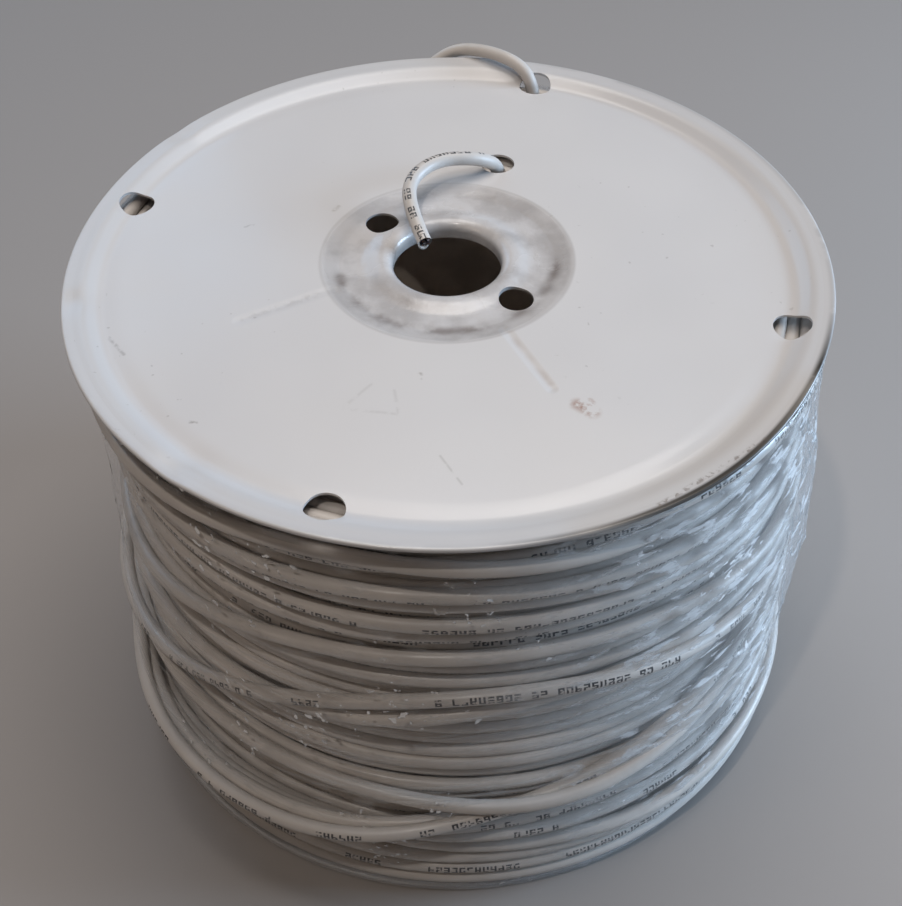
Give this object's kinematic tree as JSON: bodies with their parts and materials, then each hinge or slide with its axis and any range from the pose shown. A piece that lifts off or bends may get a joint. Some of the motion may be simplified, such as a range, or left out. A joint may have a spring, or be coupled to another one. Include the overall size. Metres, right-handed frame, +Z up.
{
  "type": "cable spool",
  "caption": "White painted pressed-steel cable spool standing on one end, full of white data cable under clear wrapping film",
  "frame": {"origin": "on the floor under the middle of the barrel, at the centre of the bottom flange's folded edge", "axes": "+Z up along the barrel and the winding's axis, +Y to the far side of the picture, +X to its right"},
  "size_m": [0.2666, 0.2746, 0.2067],
  "materials": {
    "flange_paint": "satin white paint on steel sheet, scuffed in the pan, with dirt at the rim",
    "barrel_steel": "dull painted steel tube",
    "cable_jacket": "white cable jacket with a dark printed row of plain marks",
    "clear_film": "thin clear stretch film, wrinkled and glossy"
  },
  "bodies": {
    "root": {"bottom_flange": "flange_paint", "top_flange": "flange_paint", "barrel": "barrel_steel", "cable_winding": "cable_jacket", "wrap_film": "clear_film", "start_tail": "cable_jacket", "finish_tail": "cable_jacket"}
  },
  "joints": []
}
